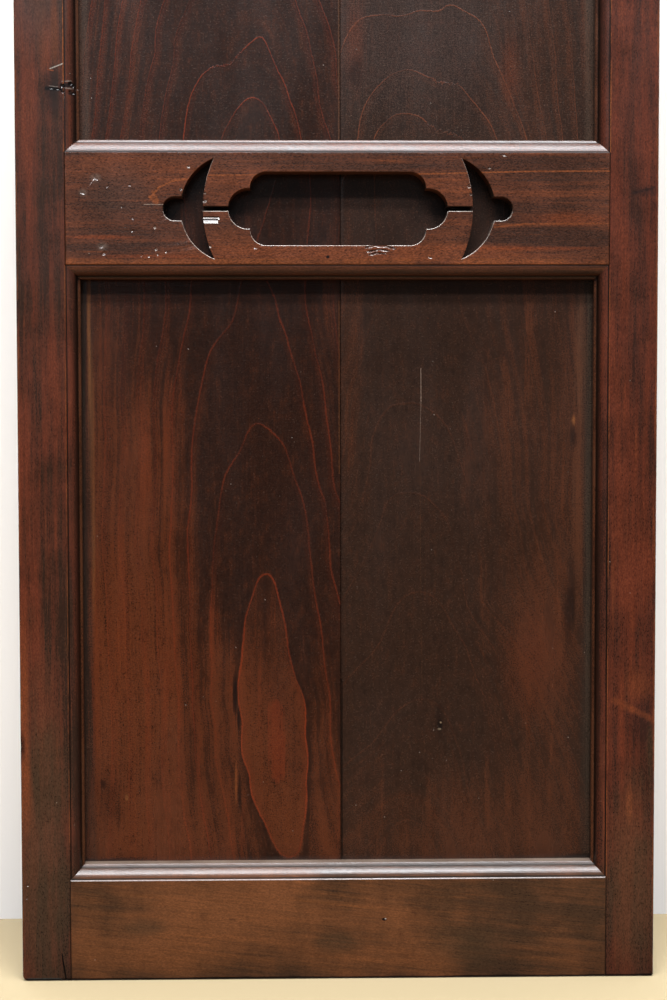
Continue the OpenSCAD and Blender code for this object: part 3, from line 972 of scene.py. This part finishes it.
belt_zones = (
    (60, 868, 240, 17, 0.25, 0.5), (-225, 850, 70, 40, -0.2, 0.6), (220, 812, 90, 14, -0.3, 0.6),
    (40, 803, 200, 8, 0.7, 0.6), (-225, 895, 80, 12, 0.3, 0.6), (60, 899, 280, 9, -0.15, 0.4),
    (-230, 808, 80, 14, -0.3, 0.6), (230, 850, 80, 50, -0.3, 0.6),
)
belt_marks = (
    (-260, 818, 40, 2.2, EMBER, 0.6, 0.6), (-200, 797, 60, 2, EMBER, 0.5, 0.7),
    (200, 806, 70, 2, EMBER, 0.55, 0.7), (-236, 868, 30, 26, "4c3a33", 0.35, 0.7),
    # The pale marks in the dents, here and on the next line, are painted highlights.
    (-263, 882, 4.5, 3.4, DENT_GLINT, 0.3, 0.8), (-276.6, 866, 3.4, 3, DENT_GLINT, 0.3, 0.8),
    (-256, 808, 5, 4, DENT_GLINT, 0.3, 0.8), (-11.5, 796.6, 1.6, 1.6, SOOT, 0.95, 0.3),
    (262, 838, 50, 6, EMBER, 0.4, 0.6),
)
belt_strokes = (
    (-143, 885, 84, 886.4, 1.1, ORANGE, 0.65), (84, 886.4, 204, 889.3, 1.1, ORANGE, 0.65),
    (204, 889.3, 302, 889.9, 1.1, ORANGE, 0.65), (-165, 880.8, -180, 878.6, 1.4, ORANGE, 0.65),
    (-180, 878.6, -194, 872, 1.5, ORANGE, 0.7), (-194, 872, -204, 861, 1.7, ORANGE, 0.75),
    (-204, 861, -197, 855, 3.2, ORANGE, 0.6), (-201, 867, -196, 858, 2.4, ORANGE, 0.5),
    (171, 829, 204, 832.5, 1.2, ORANGE, 0.5), (204, 832.5, 302, 833, 1.2, ORANGE, 0.35),
    # The thin pale stroke at 853.3 is a painted highlight.
    (-211, 853.3, -190, 853.3, 0.5, PAINTED_GLINT, 0.5), (-296.5, 896, -296.3, 893, 1.1, SOOT, 0.95),
)

# %% Finishes of the frame
stile_left_wood = frame_finish(
    "left_stile_stain", (0.41, 0.44, 0.43), 2, "3c261d", "723624", "9c5630",
    (2.3, 0.8, 1.2, 0.5, 0.24, 1.9), 1.0, left_stile_zones, left_stile_marks, left_stile_strokes)
stile_right_wood = frame_finish(
    "right_stile_stain", (0.42, 0.45, 0.46), 2, "40241b", "703320", "9c5630",
    (1.9, 0.7, 1.4, 0.5, 0.22, 2.2), 0.95,
    right_stile_zones, right_stile_marks, right_stile_strokes)
rail_wood = frame_finish(
    "rail_stain", (0.55, 0.56, 0.58), 0, "432d1e", "754527", "9a5a2e",
    (0.7, 0.7, 1.7, 0.6, 0.24, 1.4), 0.4, rail_zones, rail_marks, slant=-6)
belt_wood = frame_finish(
    "belt_stain", (0.445, 0.43, 0.395), 0, "43291f", "743f28", "a0582e",
    (0.8, 1.1, 0.9, 0.6, 0.13, 3.0), 0.15, belt_zones, belt_marks, belt_strokes)
plain_wood = frame_finish(
    "back_stain", (0.5, 0.5, 0.5), 0, "3a261b", "62391f", "8a5230",
    (1.4, 1.0, 1.0, 0.7, 0.4, 1.4), 0.3)
wedge_wood = frame_finish(
    "wedge_stain", (0.5, 0.5, 0.5), 0, "3a271a", "674328", "8a6038",
    (1.0, 1.0, 1.4, 0.8, 0.4, 1.4), 0.3, slant=9)
print("finishes:", [m.name for m in bpy.data.materials if m.name.endswith("stain")])

# %% [markdown]
# ## Dents, chips and tears
# Years of use have left marks that catch the light: dents on the belt, chips on the edges of the
# openwork, a splinter torn out under the left slot, a piece broken off under the cartouche, a
# loose knot on the left stile and a cracked foot. A bump map would show them only from the front,
# so they are cut: rough pebbles and wedges are taken out of the wood with a boolean.

# %% Cutters
FACE_MM = FRONT / MM


def pebble(place, half, seed, rough=0.12, turn=0.0):
    """A rough ball with half sizes along x, y and z, at a place. All in millimetres."""
    bpy.ops.mesh.primitive_ico_sphere_add(subdivisions=3, radius=MM)
    stone = bpy.context.object
    bpy.ops.object.mode_set(mode="EDIT")
    bpy.ops.mesh.select_all(action="SELECT")
    bpy.ops.transform.vertex_random(offset=rough * MM, uniform=1.0, normal=0.0, seed=seed)
    bpy.ops.transform.resize(value=half)
    bpy.ops.transform.rotate(value=radians(turn), orient_axis="Y", center_override=(0, 0, 0))
    bpy.ops.transform.translate(value=[c * MM for c in place])
    bpy.ops.object.mode_set(mode="OBJECT")
    return stone


def dent(x, z, wide, tall, deep, seed, turn=0.0):
    """A shallow pebble in the face, of which just the deep part reaches into the wood."""
    half = (0.72 * wide, 2.2 * deep, 0.72 * tall)
    return pebble((x, FACE_MM - 1.2 * deep, z), half, seed, 0.1, turn)


def wedge(left, right, top, bottom, deep, seed):
    """A flat sloping cut, deep at its top and running out at its bottom, a little uneven."""
    bpy.ops.mesh.primitive_cube_add(size=2 * MM)
    block = bpy.context.object
    bpy.ops.object.mode_set(mode="EDIT")
    bpy.ops.mesh.select_all(action="SELECT")
    bpy.ops.transform.resize(value=((right - left) / 2, 3, (top - bottom) / 2))
    bpy.ops.mesh.subdivide(number_cuts=5)
    bpy.ops.transform.vertex_random(offset=0.12 * MM, uniform=1.0, normal=0.0, seed=seed)
    bpy.ops.object.mode_set(mode="OBJECT")
    points = points_of(block)
    rise = (points[:, 2] + (top - bottom) / 2 * MM) / ((top - bottom) * MM)
    points[:, 1] += FRONT - 3 * MM + deep * MM * rise
    points[:, 0] += (left + right) / 2 * MM
    points[:, 2] += (top + bottom) / 2 * MM
    block.data.vertices.foreach_set("co", points.ravel())
    block.data.update()
    return block


# %% Marks of use
# Places and sizes are in millimetres. A dent has x, z, width, height and depth, a chip x, z and a
# radius, a break x, z, two half sizes and a turn in degrees, and a hole of the knot x, z, two half
# sizes and a depth. Every cutter has a seed of its own.
DENTS = (
    (-162, 894, 3.4, 2.8, 0.7), (-170.5, 870, 3.2, 2.6, 0.7), (-199, 829, 2.6, 4.2, 0.6),
    (-198, 805, 2.6, 3.2, 0.5), (-196, 799, 2.2, 2.0, 0.5), (-263, 882, 6.5, 3.6, 0.4),
    (-276.6, 865.6, 4.5, 3.0, 0.4), (-223, 838.7, 2.2, 3.8, 0.6), (-223, 824.7, 3.4, 3.0, 0.8),
    (-256.5, 808.5, 6.5, 4.0, 0.4), (-254, 801, 4.5, 5, 0.6), (-235, 851, 2.6, 2.0, 0.5),
    (-140, 808, 4.2, 3.2, 0.9), (-187, 802, 2.4, 1.8, 0.5), (-213, 798, 3.6, 1.8, 0.5),
    (-206, 797, 2.2, 1.8, 0.5), (180, 907, 5.5, 2.0, 0.7), (-226, 874, 3.0, 2.4, 0.5),
    (165, 893, 2.6, 1.8, 0.5), (-250, 873, 3.0, 2.2, 0.4), (-300, 893, 2.0, 2.4, 0.8),
    (100, 796, 4, 1.8, 0.5), (-90, 806, 3.5, 1.6, 0.4),
)
CHIPS = (
    (-144.4, 880, 1.5), (-145, 874.3, 1.3), (-146, 870, 1.4), (-145, 865.7, 1.7),
    (-144.8, 857, 2.6), (143, 873.5, 3.2), (144.7, 864.4, 1.6), (-171, 869, 1.5),
)
BREAKS = (
    (34, 807.5, 5.5, 1.5, 8), (46, 808.5, 9, 1.7, -3), (57, 806.8, 5.5, 1.7, -12),
    (37, 803.2, 6.5, 1.5, 10), (49, 804.0, 8, 1.3, -6), (38, 799.8, 5.5, 1.5, 14),
    (46, 800.6, 6, 1.2, -4),
)
belt_waste = [dent(*sizes, seed, 20 * (seed % 5) - 40) for seed, sizes in enumerate(DENTS)]
belt_waste += [pebble((x, FACE_MM - 0.4, z), (r, 1.6, 0.8 * r), seed, 0.2)
               for seed, (x, z, r) in enumerate(CHIPS, 40)]
belt_waste += [wedge(-152, -129, 840.4, 836.9, 1.6, 71), wedge(-152, -130.5, 838.2, 833.0, 2.3, 72)]
belt_waste += [pebble((x, FACE_MM + 0.1, z), (a, 1.3, b), seed, 0.22, turn)
               for seed, (x, z, a, b, turn) in enumerate(BREAKS, 80)]
KNOT = (
    (-309, 977.5, 4.5, 1.3, 1.0), (-302, 976.6, 3.6, 1.6, 1.2), (-297.5, 980.5, 3.2, 2.6, 2.4),
    (-297, 974, 3.0, 1.6, 1.6), (-291, 983.6, 3.4, 2.8, 6), (-286, 981.5, 2.6, 2.6, 8),
    (-282, 979.5, 2.2, 3.0, 14), (-286, 973.4, 2.4, 1.6, 8), (-281.5, 971.5, 2.0, 1.8, 13),
    (-290, 975.2, 2.2, 1.4, 5),
)
knot_waste = [pebble((x, FACE_MM - 0.2 + deep - 1.6, z), (a, 1.9, b), seed, 0.14, -8)
              for seed, (x, z, a, b, deep) in enumerate(KNOT, 120)]
print("cutters for the belt and the knot:", len(belt_waste), len(knot_waste))

# %% Lost corners of the feet


def corner_block(side, radius):
    """A block with a round hollow, which takes the outer lower corner off a stile.

    The radius is in millimetres. The hollow is a little wider, so that it crosses both faces of the
    corner and doesn't just touch them.
    """
    r = radius * MM
    bpy.ops.mesh.primitive_cube_add(size=1, location=(side * high.x, 0, 0),
                                    scale=(2 * r, 60 * MM, 2 * r))
    block = bpy.context.object
    bpy.ops.mesh.primitive_cylinder_add(vertices=48, radius=1.03 * r, depth=80 * MM,
                                        rotation=(radians(90), 0, 0),
                                        location=(side * (high.x - r), 0, r))
    cut_away(block, [bpy.context.object])
    return block


LEFT_CORNER, RIGHT_CORNER = 8, 4.5
foot_waste = [corner_block(-1, LEFT_CORNER),
              pebble((-304.3, FACE_MM + 0.3, 14), (0.7, 2.2, 16), 140, 0.1, 9),
              pebble((-343.2, FACE_MM - 0.3, 107), (1.4, 1.0, 1.8), 141),
              pebble((-344.4, FACE_MM - 0.3, 92.7), (1.6, 1.0, 2.2), 142),
              pebble((-349.5, FACE_MM + 1, 262), (1.4, 3, 9), 143, 0.1)]
right_waste = [corner_block(1, RIGHT_CORNER)]
print("cutters for the feet:", len(foot_waste), len(right_waste))

# %% [markdown]
# ## Stiles, rails and belt
# The arris between face and moulding is rounded by wear, and so is the edge of the fillet, whose
# front slopes. Bevels on edges picked by place give the rounding, and a push on the fillet's inner
# edge gives the slope. The marks of use and the lost corners of the feet are cut after that, into
# the rounded wood, so their own edges stay sharp.

# %% Where to round, and what to mark
CARVED_HALF = 215 * MM
FILLET_FALL = 1.4 * MM


def in_openwork(p):
    """Points on the front edges of the carving."""
    inside = (p[:, 2] > FACE_LOW + MM) & (p[:, 2] < FACE_HIGH - MM)
    return near(p[:, 1], FRONT) & inside & (np.abs(p[:, 0]) < CARVED_HALF)


def on_face_line(p):
    """Points on the flat front of the frame."""
    return near(p[:, 1], FRONT)


def on_fillet_line(p, depth=FILLET):
    """Points where the fillet turns back to the boards."""
    inner = near(np.abs(p[:, 0]), FIELD)
    for level in (BELT_LOW, BELT_HIGH, FOOT_FIELD):
        inner |= near(p[:, 2], level)
    return near(p[:, 1], depth) & inner


def on_pushed_line(p):
    """The same points after the fillet got its slope."""
    return on_fillet_line(p, FILLET + FILLET_FALL)


def slope_fillet(piece):
    """Pushes the inner edge of the fillet back, so that its front slopes."""
    pick_edges(piece, on_fillet_line(points_of(piece))[edges_of(piece)].all(axis=1))
    bpy.ops.transform.translate(value=(0, FILLET_FALL, 0))
    bpy.ops.object.mode_set(mode="OBJECT")


def mark_faces(piece, along):
    """Puts a 1 on end grain, on up-facing edges (painted highlight), on ledges (painted light,
    dust).
    """
    normals, middles = (read(piece.data.polygons, n, 3) for n in ("normal", "center"))
    # Edges that look up and forward get a pale painted highlight
    edge = (normals[:, 2] > 0.12) & (normals[:, 1] < -0.3) & (middles[:, 1] < FRONT + MM)
    edge &= (np.abs(middles[:, 0]) < 210 * MM) & (middles[:, 2] < BELT_HIGH - 18 * MM)
    # Ledges that look up get painted light from above, with dust
    ledge = (normals[:, 2] > 0.9) & (middles[:, 1] > FILLET - MM) & (middles[:, 1] < BOARD)
    ends = (np.abs(normals[:, along]) > 0.9) & ~ledge
    carry(piece, "FACE", {"end_grain": ends, "upward_edge_glint": edge, "ledge_light_and_dust": ledge})


# %% Frame pieces
OPENWORK_ROUND = 0.65 * MM
FILLET_ROUND = {0: 1.0 * MM, 2: 0.6 * MM}
# Node, finish, slot, axis of the grain, rounding of the arris in millimetres, groups of cutters
FRAME = (
    ("left_stile", stile_left_wood, "stile_wood", 2, 0.7, (knot_waste, foot_waste)),
    ("right_stile", stile_right_wood, "stile_wood", 2, 0.7, (right_waste,)),
    ("bottom_rail", rail_wood, "rail_wood", 0, 1.3, ()),
    ("top_rail", rail_wood, "rail_wood", 0, 0.8, ()),
    ("belt_rail", belt_wood, "belt_wood", 0, 1.2, (belt_waste,)),
)
for node, finish, slot, along, arris, waste in FRAME:
    piece = copy_of(node, node + "_worn")
    round_edges(piece, OPENWORK_ROUND, in_openwork)
    round_edges(piece, arris * MM, on_face_line)
    slope_fillet(piece)
    round_edges(piece, FILLET_ROUND[along], on_pushed_line)
    for cutters in waste:
        cut_away(piece, cutters)
    mark_faces(piece, along)
    settle(piece, finish)

# %% [markdown]
# ## Back rail and wedges
# Both are plain sawn wood out of the light. Their parts stay as they are and just get a finish,
# the wedges a lighter one, as they are driven in from outside and show their ends.

# %% Parts that stay as they are
for node, finish in (("back_rail", plain_wood), ("tenon_wedges", wedge_wood)):
    frame["nodes"][node].data.materials.clear()
    frame["nodes"][node].data.materials.append(finish)
    print(node, "has", finish.name)
